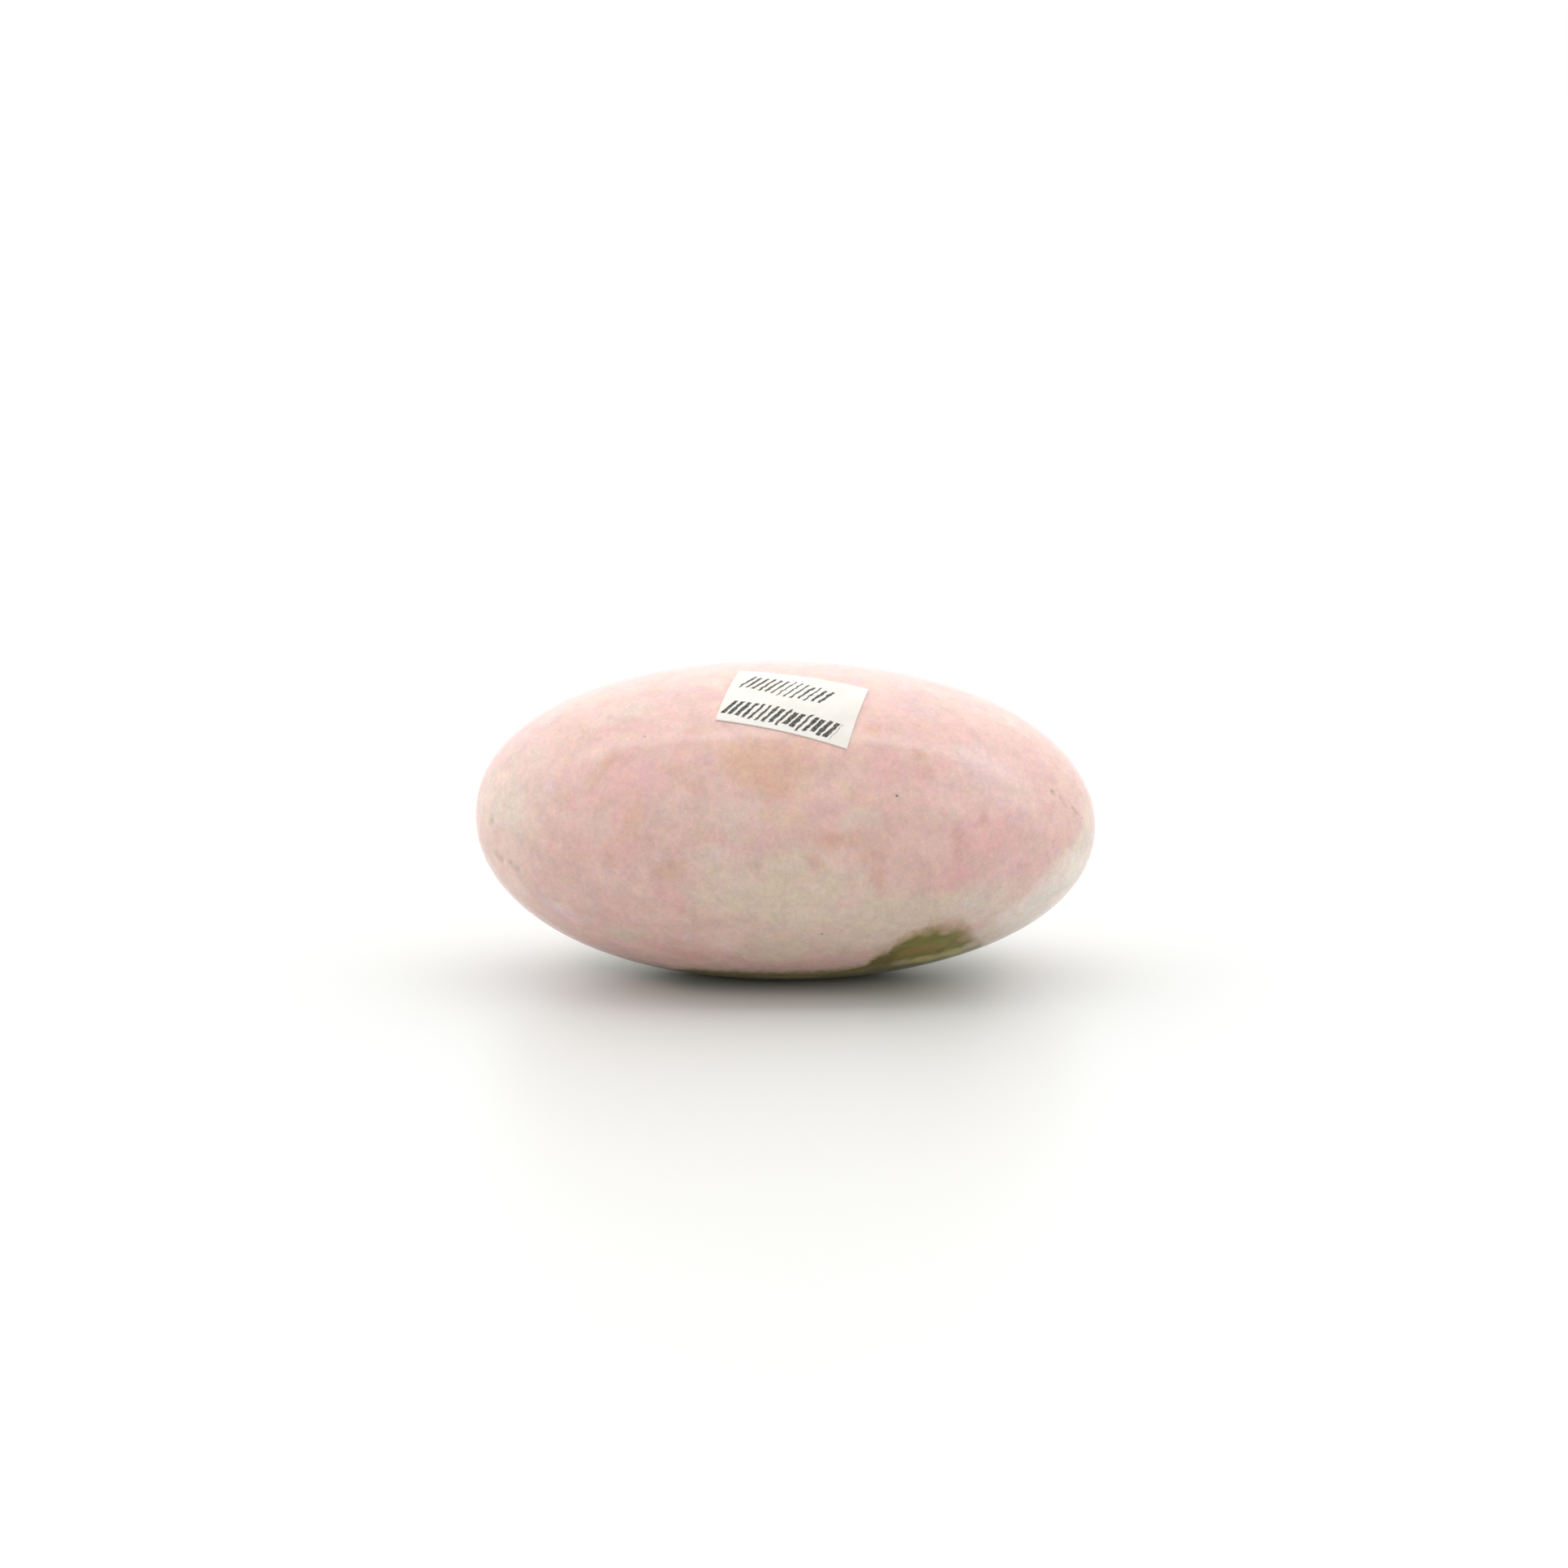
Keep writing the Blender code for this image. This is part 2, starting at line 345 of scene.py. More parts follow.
# Dark dots, a white streak, and the brown in the pits and the groove
SPECKS = {
    "right of centre": Cloud((1105, 980), 2.04, "round", PEPPER, 0.85),
    "upper left": Cloud((795, 908), 2, "round", PEPPER, 0.45),
    "low centre": Cloud((1013, 1151), 2.1, "round", PEPPER, 0.6),
    "patch edge, left": Cloud((1090, 1173), 1.22, "wide", PEPPER, 0.9),
    "patch edge, middle": Cloud((1142, 1144), 1.2, "wide", PEPPER, 0.85),
    "patch foot": Cloud((1126, 1187), 1, "wide", PEPPER, 0.8),
    "pit tint": Cloud((1297, 977), 6, "round", BARK, 0.5),
    "pit tint, long": Cloud((1325, 1000), 4.5, "falling", BARK, 0.6),
    "pit tint, between": Cloud((1309, 986), 6, "falling", BARK, 0.22),
    "bruise tint": Cloud((605, 1013), 7, "wide", BARK, 0.25),
    "groove tint": Cloud((614, 1055), 8, "falling", BARK, 0.45),
    "groove tint, end": Cloud((632, 1066), 6.5, "falling", BARK, 0.35),
    "white streak": Cloud((759, 1073), 2.83, "falling", CHALK, 0.5),
}

# The olive patch's front edge: places along the stone in mm, and degrees from straight down to the front
PATCH_EDGE = (
    (-17, 4),
    (-13, 8),
    (-10.5, 12),
    (-9.6, 20),
    (-7.9, 31.5),
    (-6.6, 34),
    (-2.1, 36.5),
    (2.4, 37),
    (4.3, 37.2),
    (6.2, 39.3),
    (6.7, 43.5),
    (7.2, 46.9),
    (8.1, 48.4),
    (8.7, 55),
    (9.4, 57.7),
    (11.3, 59.8),
    (12.9, 58.4),
    (13.9, 55),
    (14.4, 50),
    (14.8, 43.5),
    (15.6, 29),
    (16.3, 15),
    (18.5, 8),
)

# The range of that edge's curve: its span along the stone in mm, and its top in degrees
PATCH_SPAN = (-17, 19)
PATCH_TOP = 70

# How softly the front edge fades and how far it strays in degrees, and where it turns softer in mm
FRONT_SOFTNESS = 2.4
END_SOFTNESS = 11
SOFT_END = (11.5, 14.5)
EDGE_WOBBLE = 5

# Where the patch stops out of sight: its rear edge in degrees, its ends in mm, and how far they stray
PATCH_REAR = (-42, -32)
PATCH_LEFT_END = (-16, -13.5)
PATCH_RIGHT_END = (20, 17.3)
REAR_WOBBLE = 26
END_WOBBLE = 3

# The rim inside the front edge and the halo outside it, by degrees over it, and the rim's streaks
RIM_EDGE = (-4.0, -0.5)
RIM_STREAKS = (0.35, 0.5, 0.2, 0.7)
PATCH_HALO = (7, 0.5, 0, 0.5)


class Pattern(NamedTuple):
    """A noise: the size of its patches in mm, its detail and its roughness."""

    size: float
    detail: float
    roughness: float = 0.5


EDGE_NOISE = Pattern(0.6, 4, 0.65)
REAR_NOISE = Pattern(4.5, 4, 0.6)
STREAK_NOISE = Pattern(0.8, 5, 0.7)
BAND_NOISE = Pattern(1.9, 3)
BLOTCH_NOISE = Pattern(1.2, 4, 0.75)
SHADE_NOISE = Pattern(3.0, 5, 1.0)
SMEAR_NOISE = Pattern(2.6, 5, 0.6)
SKIN_NOISE = Pattern(0.9, 3, 0.6)
FIBRE_NOISE = Pattern(0.16, 4, 0.7)
STAIN_NOISE = Pattern(3.0, 4, 0.6)


class Shake(NamedTuple):
    """How noise moves places about, so that outlines fray: its size and reach in mm, and its detail."""

    size: float
    reach: float
    detail: float


SWAY = Shake(4.2, 2.2, 1)
FRAY = Shake(0.95, 1.2, 4)
MARBLE_FRAY = Shake(3.0, 3.0, 3)
PATCH_FRAY = Shake(0.9, 0.7, 3)
SPECK_FRAY = Shake(0.30, 0.24, 3)
FIBRE_CURL = Shake(0.6, 0.5, 2)
STROKE_SHAKE = Shake(0.5, 0.34, 3)

# Where a cloud or a speck fades in and where it is full, as shares of its radius
CLOUD_EDGE = (1.32, 0.30)
SPECK_EDGE = (1.25, 0.25)


class Layer(NamedTuple):
    """A colour laid over another while a noise goes from start to end, up to a strength."""

    colour: tuple
    start: float
    end: float
    strength: float


class Marble(NamedTuple):
    """A layer for the stone's unseen side, with its noise and how far that is shifted in mm."""

    layer: Layer
    pattern: Pattern
    shift: tuple


MARBLING = {
    "cream": Marble(Layer(CREAM, 0.50, 0.62, 0.95), Pattern(8.5, 4, 0.55), (3.1, 1.7, 9.2)),
    "rose": Marble(Layer(ROSE, 0.48, 0.62, 0.9), Pattern(7.0, 4, 0.55), (14.3, 5.1, 2.4)),
    "mauve": Marble(Layer(MAUVE, 0.50, 0.64, 0.7), Pattern(6.0, 4, 0.55), (7.7, 21.9, 4.8)),
    "tan": Marble(Layer(TAN, 0.55, 0.68, 0.9), Pattern(4.0, 4, 0.55), (31.4, 8.8, 17.2)),
    "pale": Marble(Layer(PALE, 0.56, 0.70, 0.8), Pattern(3.2, 4, 0.55), (2.2, 33.6, 41.5)),
}

# Where the marbling comes in, from the front to the back in mm, and how much of it shows
UNSEEN_SIDE = (-1, 5, 0.15, 1.0)

# The olive patch's streaks, drawn out along the stone and tilted
STREAK_SQUEEZE = (0.35, 1.0, 1.0)
STREAK_TILT = (0, 0.25, 0)
GREEN_STREAKS = Layer(OLIVE_GREEN, 0.42, 0.60, 1.0)
HONEY_BANDS = Layer(HONEY, 0.5, 0.72, 0.45)
DARK_STREAKS = Layer(OLIVE_DARK, 0.50, 0.30, 0.75)
HONEY_STREAKS = Layer(HONEY, 0.56, 0.72, 0.35)

# Fine blotches of hue and broader ones of light, as the least that they leave and what they add
BLOTCH_LEAST = (0.87, 0.83, 0.81)
BLOTCH_REACH = (0.26, 0.34, 0.38)
SHADE_LEAST = 0.60
SHADE_REACH = 0.8
SHADE_SHIFT = (50.0, 0.0, 0.0)

# The polish: its roughness by the smears on it, and its bumps, with the patch a little lower
STONE_POLISH = (0.35, 0.7, 0.10, 0.17)
SKIN_STRENGTH = 0.35
SKIN_HEIGHT = 0.006 * MM
PATCH_SINK = -0.2

# How the stone bends the light, and how much of it scatters under its surface
STONE_IOR = 1.5
STONE_SCATTER = 0.12
SCATTER_COLOUR = (1.0, 0.55, 0.45)
SCATTER_DEPTH = 0.6 * MM

# The label's paper and ink
PAPER = (0.80, 0.775, 0.73)
PAPER_STAIN = (0.74, 0.70, 0.63)
PAPER_STAINS = Layer(PAPER_STAIN, 0.4, 0.7, 0.7)
PAPER_FIBRES = Layer(PAPER_STAIN, 0.45, 0.75, 0.25)
PAPER_FINISH = (0.3, 0.7, 0.72, 0.86)
PAPER_GLOSS = 0.3
FIBRE_STRENGTH = 0.5
FIBRE_HEIGHT = 0.012 * MM
INK = (0.035, 0.037, 0.026)
INK_WEAR = (0.75, 0.4, 0.7, 1.0)
INK_BLEED = 0.05


class Row(NamedTuple):
    """A row of plain slanted strokes on the label, in mm from its middle."""

    middle: float
    level: float
    tilt: float
    half_length: float
    half_height: float
    pitch: float
    thinnest: float
    thickest: float


STROKE_ROWS = {
    "upper": Row(-1.3, 1.22, -0.09, 3.7, 1.2, 0.56, 0.14, 0.28),
    "lower": Row(0.7, -2.2, -0.045, 4.5, 1.0, 0.56, 0.22, 0.42),
}
STROKE_SLANT = 0.45
STROKE_SHORTENING = 0.3


def swell(direction):
    """How far the surface stands out of the plain ovoid in a direction, as a factor near 1."""
    around = complex(direction.x, direction.z)
    ends = END_BIAS * (around**3).real
    shoulders = SHOULDER_FULLNESS * (around**4).real
    twist = SHOULDER_TWIST * (around**4).imag
    return 1 + ends - shoulders - twist


def ovoid_point(direction):
    return direction * HALF_SIZES * swell(direction)


def sphere(subdivisions):
    shape = bmesh.new()
    bmesh.ops.create_icosphere(shape, subdivisions=subdivisions, radius=1)
    return shape


def stone_seat():
    """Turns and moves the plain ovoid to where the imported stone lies."""
    roll = Matrix.Rotation(ROLL, 4, "Y")
    shape = sphere(ROUGH_SUBDIVISIONS)
    points = [roll @ ovoid_point(vertex.co.normalized()) for vertex in shape.verts]
    shape.free()
    box_low, box_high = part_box("stone")
    shift = Vector(
        (
            box_low.x - min(point.x for point in points),
            box_low.y - min(point.y for point in points),
            box_high.z - max(point.z for point in points),
        )
    )
    return Matrix.Translation(shift) @ roll


SEAT = stone_seat()
STONE_MIDDLE = SEAT.to_translation()


def make_camera():
    """A camera at the photograph's angle, aimed a little above the stone's middle."""
    data = bpy.data.cameras.new("camera")
    data.sensor_width = SENSOR_WIDTH
    data.lens = FOCAL_PIXELS / FRAME_SIDE * SENSOR_WIDTH
    camera = bpy.data.objects.new("camera", data)
    bpy.context.collection.objects.link(camera)
    bpy.context.scene.camera = camera
    back = Vector((0, -math.cos(CAMERA_ELEVATION), math.sin(CAMERA_ELEVATION)))
    aim_above = math.atan((STONE_PIXEL_Y - FRAME_SIDE / 2) / FOCAL_PIXELS)
    pitch = math.radians(90) - CAMERA_ELEVATION + aim_above
    place = Matrix.Translation(STONE_MIDDLE + back * CAMERA_DISTANCE)
    camera.matrix_world = place @ Matrix.Rotation(pitch, 4, "X")
    return camera


def hit(camera, skin, pixel):
    """The point of the stone that a pixel of the photograph's frame shows, and its normal."""
    across = (pixel[0] - FRAME_SIDE / 2) / FOCAL_PIXELS
    down = (pixel[1] - FRAME_SIDE / 2) / FOCAL_PIXELS
    ray = camera.matrix_world.to_3x3() @ Vector((across, -down, -1))
    point, normal, _, _ = skin.ray_cast(camera.matrix_world.to_translation(), ray)
    if point is None:
        raise ValueError(f"pixel {pixel} is beside the stone")
    return point, normal


def plain_skin():
    """The plain ovoid in its place, to aim at before the fine stone is made."""
    shape = sphere(FINE_SUBDIVISIONS - 1)
    for vertex in shape.verts:
        vertex.co = SEAT @ ovoid_point(vertex.co.normalized())
    skin = BVHTree.FromBMesh(shape)
    shape.free()
    return skin


def direction_of(point):
    """The direction on the unit sphere whose ovoid point is nearest to a point of the surface."""
    local = SEAT.inverted() @ point
    return Vector(value / half for value, half in zip(local, HALF_SIZES)).normalized()


def subdivide_near(shape, spots):
    """Splits the edges that lie close to any spot, given as (direction, reach) on the unit sphere."""
    for _ in range(SPOT_SUBDIVISIONS):
        edges = [
            edge
            for edge in shape.edges
            if any((edge.verts[0].co - where).length < reach for where, reach in spots)
        ]
        bmesh.ops.subdivide_edges(shape, edges=edges, cuts=1, use_grid_fill=True)
        bmesh.ops.triangulate(shape, faces=[face for face in shape.faces if len(face.verts) > 3])


def relief(point, dents):
    """How far the polished skin stands out of the plain ovoid at a point."""
    height = WAVE_HEIGHT * noise.noise(point / WAVE_SIZE) + RIPPLE_HEIGHT * noise.noise(point / RIPPLE_SIZE)
    for middle, radius, depth in dents:
        away = (point - middle).length / radius
        if away < SPOT_REACH:
            height -= depth * math.exp(-(away**2) * DENT_STEEPNESS)
    return height


def make_stone(camera, skin):
    """The stone as one fine closed mesh, with its unevenness, its pits and its worn-flat foot."""
    dents = [
        (hit(camera, skin, dent.pixel)[0], dent.radius * MM, dent.depth * MM) for dent in DENTS.values()
    ]
    spots = [
        (direction_of(middle), radius * SPOT_REACH / HALF_SIZES.z) for middle, radius, _ in dents
    ]
    shape = sphere(FINE_SUBDIVISIONS)
    subdivide_near(shape, spots)
    for vertex in shape.verts:
        vertex.co = SEAT @ ovoid_point(vertex.co.normalized())
    shape.normal_update()
    raised = [vertex.co + vertex.normal * relief(vertex.co, dents) for vertex in shape.verts]
    for vertex, point in zip(shape.verts, raised):
        point.z = (point.z + math.hypot(point.z, FOOT_ROUNDING)) / 2
        vertex.co = point
    return piece_from("tugtupite_stone", shape)


def piece_from(name, shape):
    mesh = bpy.data.meshes.new(name)
    shape.to_mesh(mesh)
    shape.free()
    mesh.shade_smooth()
    piece = bpy.data.objects.new(name, mesh)
    bpy.context.collection.objects.link(piece)
    return piece


def skin_of(piece):
    shape = bmesh.new()
    shape.from_mesh(piece.data)
    skin = BVHTree.FromBMesh(shape)
    shape.free()
    return skin


def make_label(skin):
    """A sheet of paper laid on the stone, its two faces joined along their edges."""
    level_x, down = SEAT.to_3x3().col[0], -SEAT.to_3x3().col[2]
    middle, out, _, _ = skin.ray_cast(SEAT @ Vector((LABEL_X, LABEL_Y, 2 * HALF_SIZES.z)), down)
    side = (level_x - out * level_x.dot(out)).normalized()
    along = Matrix.Rotation(LABEL_TURN, 3, out) @ side
    across = out.cross(along)
    columns = round(LABEL_LENGTH / PAPER_CELL)
    rows = round(LABEL_WIDTH / PAPER_CELL)

    shape = bmesh.new()
    marks = shape.loops.layers.uv.new("paper")
    places = {}

    def paper_point(column, row, height):
        offset_along = (column / columns - 0.5) * LABEL_LENGTH
        offset_across = (row / rows - 0.5) * LABEL_WIDTH
        start = middle + along * offset_along + across * offset_across + out * DROP_START
        foot, _, _, _ = skin.ray_cast(start, -out)
        vertex = shape.verts.new(foot + out * height)
        places[vertex] = (offset_along / MM, offset_across / MM)
        return vertex

    sheets = [
        [[paper_point(column, row, height) for row in range(rows + 1)] for column in range(columns + 1)]
        for height in (PAPER_GAP, PAPER_GAP + PAPER_THICKNESS)
    ]
    close_sheets(shape, sheets)
    for paper_face in shape.faces:
        for loop in paper_face.loops:
            loop[marks].uv = places[loop.vert]
    piece = piece_from("paper_label", shape)
    piece.data.set_sharp_from_angle(angle=PAPER_EDGE_ANGLE)
    return piece


def close_sheets(shape, sheets):
    """Covers two like grids of points with faces, and joins the two along their edges."""
    for sheet in sheets:
        for here, beside in zip(sheet, sheet[1:]):
            for row in range(len(here) - 1):
                shape.faces.new((here[row], beside[row], beside[row + 1], here[row + 1]))
    under, face = (edge_loop(sheet) for sheet in sheets)
    for index, corner in enumerate(under):
        shape.faces.new((corner, under[index - 1], face[index - 1], face[index]))
    bmesh.ops.recalc_face_normals(shape, faces=shape.faces)


def edge_loop(sheet):
    """The points round the edge of a grid of points, in order."""
    first, last = sheet[0], sheet[-1]
    near = [column[0] for column in sheet]
    far = [column[-1] for column in sheet]
    return near[:-1] + last[:-1] + far[:0:-1] + first[:0:-1]


class Tree:
    """Adds and joins the nodes of a material or world. A value is a number, a tuple or an output."""

    def __init__(self, owner):
        owner.use_nodes = True
        self.nodes = owner.node_tree.nodes
        self.links = owner.node_tree.links

    def join(self, value, socket):
        if isinstance(value, bpy.types.NodeSocket):
            self.links.new(value, socket)
        else:
            socket.default_value = value

    def add(self, kind, inputs, output=0, **settings):
        node = self.nodes.new("ShaderNode" + kind)
        for name, value in settings.items():
            setattr(node, name, value)
        for key, value in inputs.items():
            self.join(value, node.inputs[key])
        return node.outputs[output]

    def math(self, operation, *values):
        return self.add("Math", dict(enumerate(values)), operation=operation)

    def vector(self, operation, *values):
        return self.add("VectorMath", dict(enumerate(values)), operation=operation)

    def parts(self, vector):
        node = self.nodes.new("ShaderNodeSeparateXYZ")
        self.join(vector, node.inputs[0])
        return node.outputs

    def step(self, value, start, end, low=0.0, high=1.0):
        """Goes smoothly from low to high while the value goes from start to end."""
        inputs = {"Value": value, "From Min": start, "From Max": end, "To Min": low, "To Max": high}
        return self.add("MapRange", inputs, interpolation_type="SMOOTHSTEP")

    def noise(self, place, pattern, output="Factor"):
        """Smooth noise from 0 to 1 in a pattern, or three of them as a colour."""
        size, detail, roughness = pattern
        inputs = {"Vector": place, "Scale": 1 / size, "Detail": detail, "Roughness": roughness}
        return self.add("TexNoise", inputs, output=0 if output == "Factor" else 1)

    def shaken(self, place, shake):
        """The place moved by noise, by up to about half the reach each way."""
        middle = self.vector("SUBTRACT", place, (shake.reach / 2,) * 3)
        noisy = self.noise(place, Pattern(shake.size, shake.detail), output="Color")
        return self.vector("MULTIPLY_ADD", noisy, (shake.reach,) * 3, middle)

    def blend(self, factor, under, over):
        under = under if isinstance(under, bpy.types.NodeSocket) else (*under, 1)
        over = over if isinstance(over, bpy.types.NodeSocket) else (*over, 1)
        return self.add("Mix", {0: factor, 6: under, 7: over}, output=2, data_type="RGBA")

    def lay(self, under, value, layer):
        """Lays a layer's colour over another, by how far a value has gone from its start to its end."""
        amount = self.step(value, layer.start, layer.end, 0, layer.strength)
        return self.blend(amount, under, layer.colour)

    def grained(self, place):
        """The same places squeezed along each grain, so that a round cloud there is a long one here."""
        spaces = {}
        for name, (stretch, angle) in GRAINS.items():
            inputs = {"Vector": place, "Rotation": (0, -angle, 0), "Scale": stretch}
            spaces[name] = self.add("Mapping", inputs, vector_type="TEXTURE")
        return spaces

    def clouds(self, place, colour, clouds, aim, edge):
        """Lays clouds over a colour, each at the point of the stone that aim finds for its place."""
        spaces = self.grained(place)
        for cloud in clouds:
            stretch, angle = GRAINS[cloud.grain]
            turned = Matrix.Rotation(angle, 3, "Y") @ aim(cloud.place)
            middle = [value / longer for value, longer in zip(turned, stretch)]
            inputs = {0: spaces[cloud.grain], 1: middle}
            away = self.add("VectorMath", inputs, output="Value", operation="DISTANCE")
            radius = cloud.radius * MM_PER_PIXEL
            amount = self.step(away, radius * edge[0], radius * edge[1], 0, cloud.strength)
            colour = self.blend(amount, colour, cloud.colour)
        return colour

    def shade(self, **inputs):
        shader = self.nodes["Principled BSDF"]
        for name, value in inputs.items():
            self.join(value, shader.inputs[name.replace("_", " ")])


def patch_edge(tree, along):
    """The angle of the patch's front edge at a place along the stone, as a curve through its points."""
    first, last = PATCH_SPAN
    curve = tree.nodes.new("ShaderNodeFloatCurve")
    tree.join(tree.add("MapRange", {0: along, 1: first, 2: last}), curve.inputs["Value"])
    points = curve.mapping.curves[0].points
    for index, (place, angle) in enumerate(PATCH_EDGE):
        spot = ((place - first) / (last - first), angle / PATCH_TOP)
        if index < len(points):
            points[index].location = spot
        else:
            points.new(*spot)
    for point in points:
        point.handle_type = "VECTOR"
    curve.mapping.update()
    return tree.math("MULTIPLY", curve.outputs[0], PATCH_TOP)


def patch_reach(tree, place):
    """Degrees over the patch's front edge, what its other edges leave, and how much of it is here."""
    x, y, z = tree.parts(place)
    middle = STONE_MIDDLE / MM
    forward = tree.math("SUBTRACT", middle.y, y)
    down = tree.math("SUBTRACT", middle.z, z)
    angle = tree.math("DEGREES", tree.math("ARCTAN2", forward, down))
    wobble = tree.math("MULTIPLY_ADD", tree.noise(place, EDGE_NOISE), EDGE_WOBBLE, -EDGE_WOBBLE / 2)
    angle = tree.math("ADD", angle, wobble)
    over = tree.math("SUBTRACT", angle, patch_edge(tree, x))

    ragged = tree.noise(place, REAR_NOISE)
    rear = tree.step(tree.math("MULTIPLY_ADD", ragged, REAR_WOBBLE, angle), *PATCH_REAR)
    ragged_x = tree.math("MULTIPLY_ADD", ragged, END_WOBBLE, x)
    left, right = tree.step(ragged_x, *PATCH_LEFT_END), tree.step(ragged_x, *PATCH_RIGHT_END)
    bounds = tree.math("MULTIPLY", rear, tree.math("MULTIPLY", left, right))

    softness = tree.step(x, *SOFT_END, FRONT_SOFTNESS, END_SOFTNESS)
    front = tree.step(over, softness, tree.math("MULTIPLY", softness, -1))
    return over, bounds, tree.math("MULTIPLY", front, bounds)


def olive_colour(tree, place, over, aim):
    """Streaked olive and honey, with the patch's own clouds and its brown rim."""
    inputs = {"Vector": place, "Scale": STREAK_SQUEEZE, "Rotation": STREAK_TILT}
    drawn_out = tree.add("Mapping", inputs)
    streaks = tree.noise(drawn_out, STREAK_NOISE)
    olive = tree.lay(OLIVE_BROWN, streaks, GREEN_STREAKS)
    olive = tree.lay(olive, tree.noise(drawn_out, BAND_NOISE), HONEY_BANDS)
    olive = tree.lay(olive, streaks, DARK_STREAKS)
    olive = tree.lay(olive, streaks, HONEY_STREAKS)
    frayed = tree.shaken(place, PATCH_FRAY)
    olive = tree.clouds(frayed, olive, PATCH_CLOUDS.values(), aim, CLOUD_EDGE)
    rim = tree.math("MULTIPLY", tree.step(over, *RIM_EDGE), tree.step(streaks, *RIM_STREAKS))
    return tree.blend(rim, olive, RUSSET)


def lay_patch(tree, place, colour, aim):
    """Lays the olive patch and its halo over the stone, and says where the patch is."""
    over, bounds, amount = patch_reach(tree, place)
    olive = olive_colour(tree, place, over, aim)
    halo = tree.math("MULTIPLY", tree.step(over, *PATCH_HALO), bounds)
    colour = tree.blend(halo, colour, UMBER)
    return tree.blend(amount, colour, olive), amount


def body_colour(tree, place):
    """The ground colour, nearly plain where the photograph's clouds go and marbled on the unseen side."""
    _, y, _ = tree.parts(place)
    unseen = tree.step(y, *UNSEEN_SIDE)
    frayed = tree.shaken(place, MARBLE_FRAY)
    colour = BLUSH
    for layer, pattern, shift in MARBLING.values():
        spread = tree.noise(tree.vector("ADD", frayed, shift), pattern)
        amount = tree.step(spread, layer.start, layer.end, 0, layer.strength)
        colour = tree.blend(tree.math("MULTIPLY", amount, unseen), colour, layer.colour)
    return colour


def stone_colour(tree, place, aim):
    """The stone's clouds, patch, blotches and specks. It says where the patch is too."""
    frayed = tree.shaken(tree.shaken(place, SWAY), FRAY)
    colour = body_colour(tree, place)
    colour = tree.clouds(frayed, colour, HIDDEN_CLOUDS.values(), Vector, CLOUD_EDGE)
    colour = tree.clouds(frayed, colour, CLOUDS.values(), aim, CLOUD_EDGE)
    colour, olive = lay_patch(tree, place, colour, aim)

    blotches = tree.noise(place, BLOTCH_NOISE, output="Color")
    blotches = tree.vector("MULTIPLY_ADD", blotches, BLOTCH_REACH, BLOTCH_LEAST)
    colour = tree.vector("MULTIPLY", colour, blotches)
    cloudy = tree.noise(tree.vector("ADD", place, SHADE_SHIFT), SHADE_NOISE)
    shade = tree.math("MULTIPLY_ADD", cloudy, SHADE_REACH, SHADE_LEAST)
    colour = tree.add("VectorMath", {0: colour, "Scale": shade}, operation="SCALE")
    finely = tree.shaken(place, SPECK_FRAY)
    return tree.clouds(finely, colour, SPECKS.values(), aim, SPECK_EDGE), olive


def stone_material(aim):
    """Cloudy pink and cream stone with an olive patch, polished to a wet gloss."""
    material = bpy.data.materials.new("polished_tugtupite")
    tree = Tree(material)
    metres = tree.add("TexCoord", {}, output="Object")
    place = tree.add("VectorMath", {0: metres, "Scale": 1 / MM}, operation="SCALE")
    colour, olive = stone_colour(tree, place, aim)
    sunk = tree.math("MULTIPLY", olive, PATCH_SINK)
    skin = tree.math("ADD", tree.noise(place, SKIN_NOISE), sunk)
    bump = {"Height": skin, "Strength": SKIN_STRENGTH, "Distance": SKIN_HEIGHT}
    tree.shade(
        Base_Color=colour,
        Roughness=tree.step(tree.noise(place, SMEAR_NOISE), *STONE_POLISH),
        IOR=STONE_IOR,
        Normal=tree.add("Bump", bump),
        Subsurface_Weight=STONE_SCATTER,
        Subsurface_Radius=SCATTER_COLOUR,
        Subsurface_Scale=SCATTER_DEPTH,
    )
    return material


def strokes(tree, along, across, row):
    """Where a row of slanted strokes lies, each of its own thickness."""
    slanted = tree.math("MULTIPLY_ADD", across, -STROKE_SLANT, along)
    cell = tree.math("DIVIDE", slanted, row.pitch)
    chance = tree.add("TexWhiteNoise", {"W": tree.math("FLOOR", cell)}, noise_dimensions="1D")
    off = tree.math("ABSOLUTE", tree.math("SUBTRACT", tree.math("FRACT", cell), 0.5))
    thinnest, thickest = (width / 2 / row.pitch for width in (row.thinnest, row.thickest))
    half = tree.math("MULTIPLY_ADD", chance, thickest - thinnest, thinnest)
    bleed = INK_BLEED / row.pitch
    beside = tree.step(tree.math("SUBTRACT", off, half), bleed, -bleed)
    lowered = tree.math("MULTIPLY_ADD", along, -row.tilt, across)
    height = tree.math("ABSOLUTE", tree.math("SUBTRACT", lowered, row.level))
    reach = tree.math("MULTIPLY_ADD", chance, -STROKE_SHORTENING * row.half_height, row.half_height)
    within = tree.step(tree.math("SUBTRACT", height, reach), INK_BLEED, -INK_BLEED)
    length = tree.math("ABSOLUTE", tree.math("SUBTRACT", slanted, row.middle))
    inside = tree.math("LESS_THAN", length, row.half_length)
    return tree.math("MULTIPLY", tree.math("MULTIPLY", beside, within), inside)


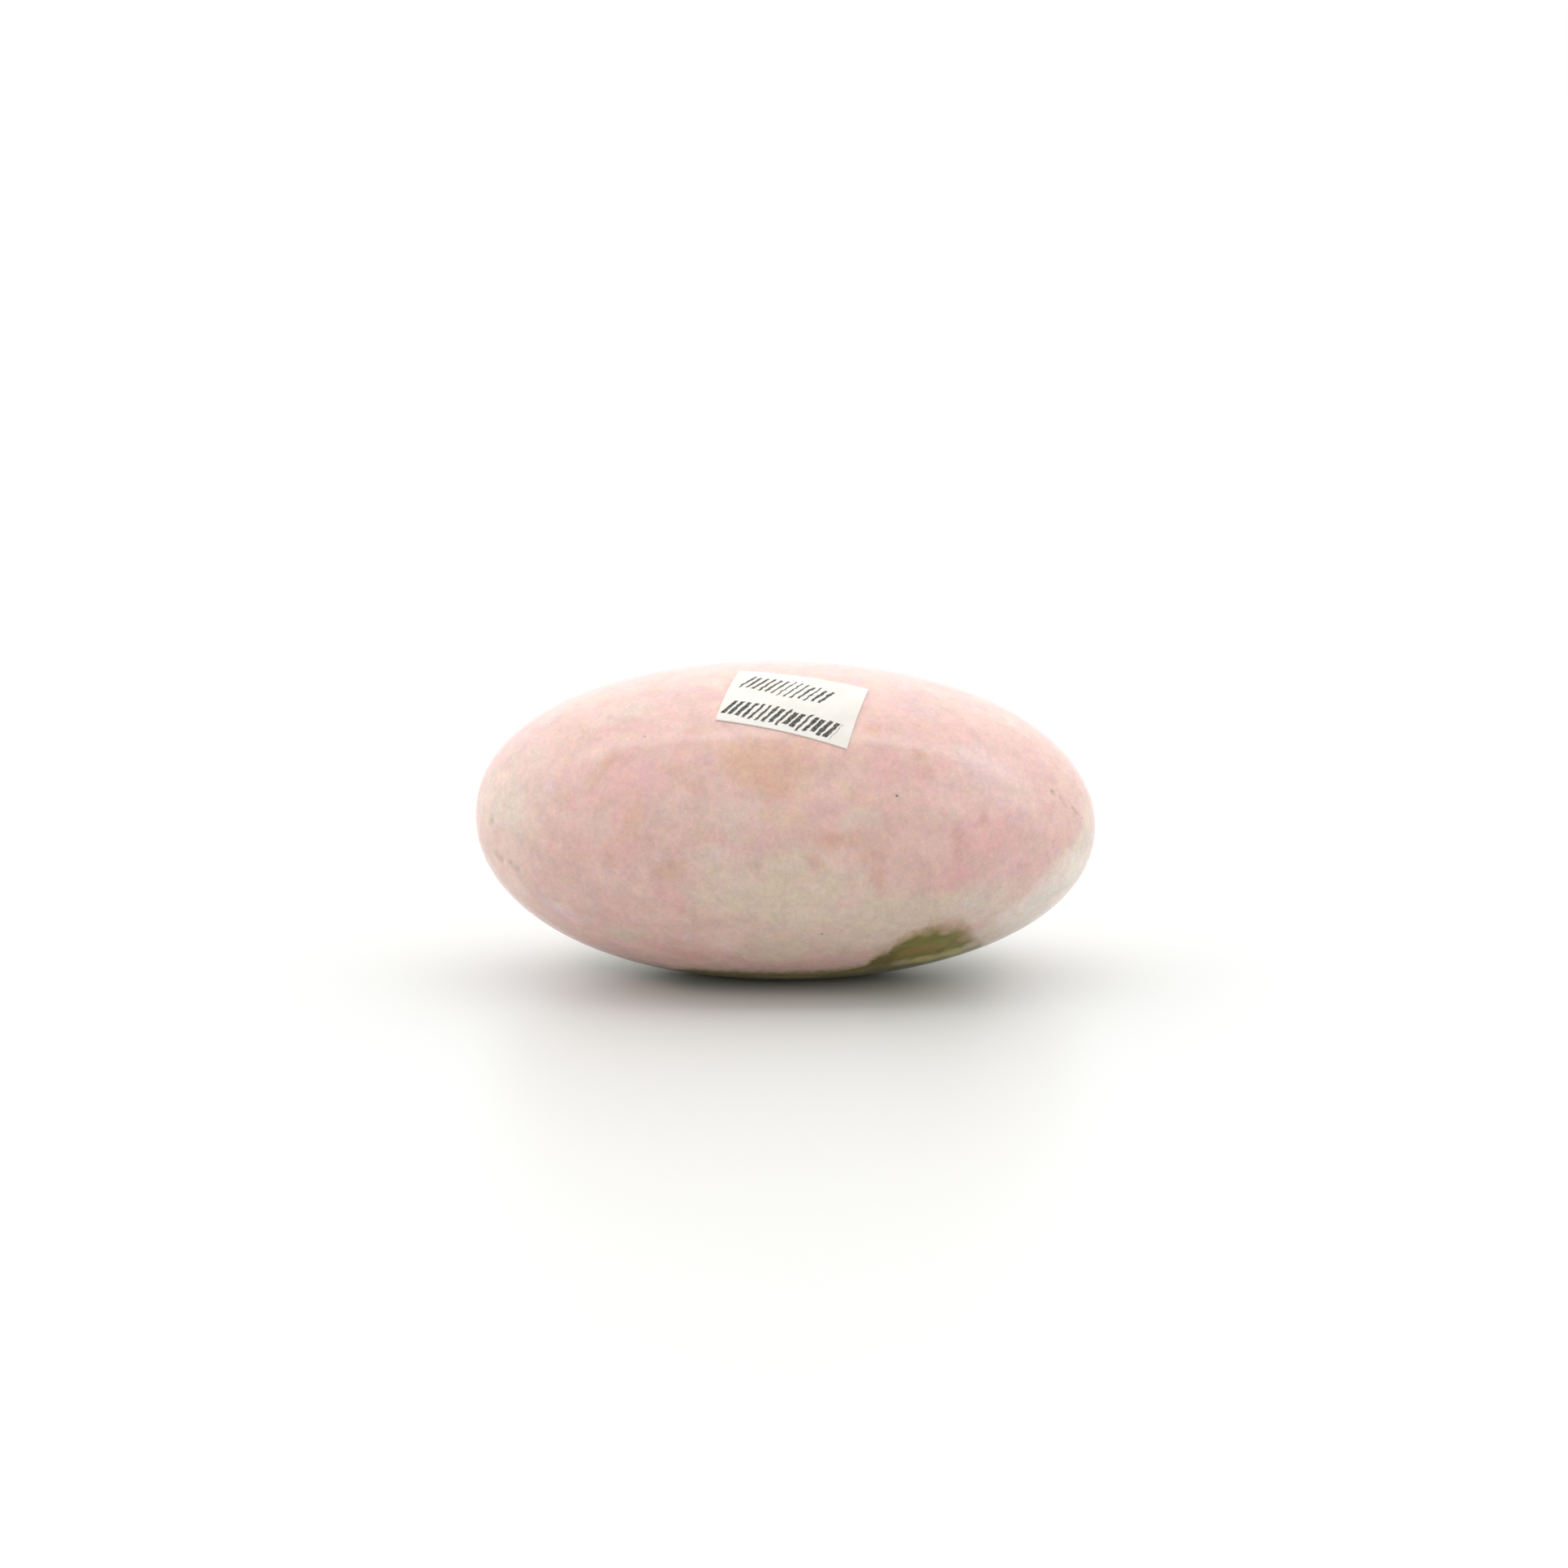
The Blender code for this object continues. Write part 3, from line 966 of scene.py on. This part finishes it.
def paper_material():
    """Matt white paper with faint fibres, and two rows of plain ink strokes."""
    material = bpy.data.materials.new("label_paper")
    tree = Tree(material)
    place = tree.add("UVMap", {}, uv_map="paper")
    fibres = tree.noise(tree.shaken(place, FIBRE_CURL), FIBRE_NOISE)
    colour = tree.lay(PAPER, tree.noise(place, STAIN_NOISE), PAPER_STAINS)
    colour = tree.lay(colour, fibres, PAPER_FIBRES)

    along, across, _ = tree.parts(tree.shaken(place, STROKE_SHAKE))
    printed = [strokes(tree, along, across, row) for row in STROKE_ROWS.values()]
    ink = tree.math("MULTIPLY", tree.math("MAXIMUM", *printed), tree.step(fibres, *INK_WEAR))
    bump = {"Height": fibres, "Strength": FIBRE_STRENGTH, "Distance": FIBRE_HEIGHT}
    tree.shade(
        Base_Color=tree.blend(ink, colour, INK),
        Roughness=tree.step(fibres, *PAPER_FINISH),
        Specular_IOR_Level=PAPER_GLOSS,
        Normal=tree.add("Bump", bump),
    )
    return material


def make_floor():
    """A wide pale floor, whose far edge melts into the white of the tent."""
    shape = bmesh.new()
    bmesh.ops.create_grid(shape, x_segments=1, y_segments=1, size=FLOOR_HALF_WIDTH)
    floor = piece_from("floor", shape)
    material = bpy.data.materials.new("white_floor")
    Tree(material).shade(Base_Color=(*FLOOR_COLOUR, 1), Roughness=FLOOR_ROUGHNESS)
    floor.data.materials.append(material)


def make_tent():
    """Smooth white light: bright behind and above, dim on the camera's side, plain white seen directly."""
    world = bpy.data.worlds.new("light_tent")
    bpy.context.scene.world = world
    tree = Tree(world)
    direction = tree.add("TexCoord", {}, output="Generated")
    x, y, z = tree.parts(direction)
    sideways = tree.math("ABSOLUTE", x)
    slope = tree.math("DIVIDE", y, tree.math("MAXIMUM", z, LOWEST_SLOPE))
    side = tree.step(x, -1, 1, TENT_LEFT, TENT_RIGHT)
    side = tree.math("MULTIPLY", side, tree.step(z, *TENT_RISE, LOW_SIDE))
    centre = tree.step(z, *TENT_RISE, TENT_FRONT * LOW_FRONT, TENT_FRONT)
    front = tree.step(sideways, *TENT_FRONT_SPREAD, centre, side)
    top = tree.step(z, *TENT_TOP_SPREAD, TENT_BACK, TENT_TOP)
    over = tree.step(sideways, *TENT_SIDE_SPREAD, top, side)
    strip = tree.math("ADD", over, tree.step(sideways, *TENT_STRIP_SPREAD, TENT_STRIP, 0))
    strip = tree.step(slope, *TENT_STRIP_END, over, strip)
    level = tree.step(slope, *TENT_EDGE, front, strip)
    seen = tree.add("LightPath", {}, output="Is Camera Ray")
    strength = tree.add("Mix", {0: seen, 2: level, 3: TENT_SEEN})
    background = tree.nodes["Background"]
    tree.join(strength, background.inputs["Strength"])
    tree.join((1, 1, 1, 1), background.inputs["Color"])


camera = make_camera()
plain = plain_skin()
stone = make_stone(camera, plain)
stone.data.materials.append(stone_material(lambda pixel: hit(camera, plain, pixel)[0] / MM))
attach(stone, "root")
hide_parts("stone")

label = make_label(skin_of(stone))
label.data.materials.append(paper_material())
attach(label, "root")
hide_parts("label")

make_floor()
make_tent()
bpy.context.scene.view_settings.view_transform = "Standard"
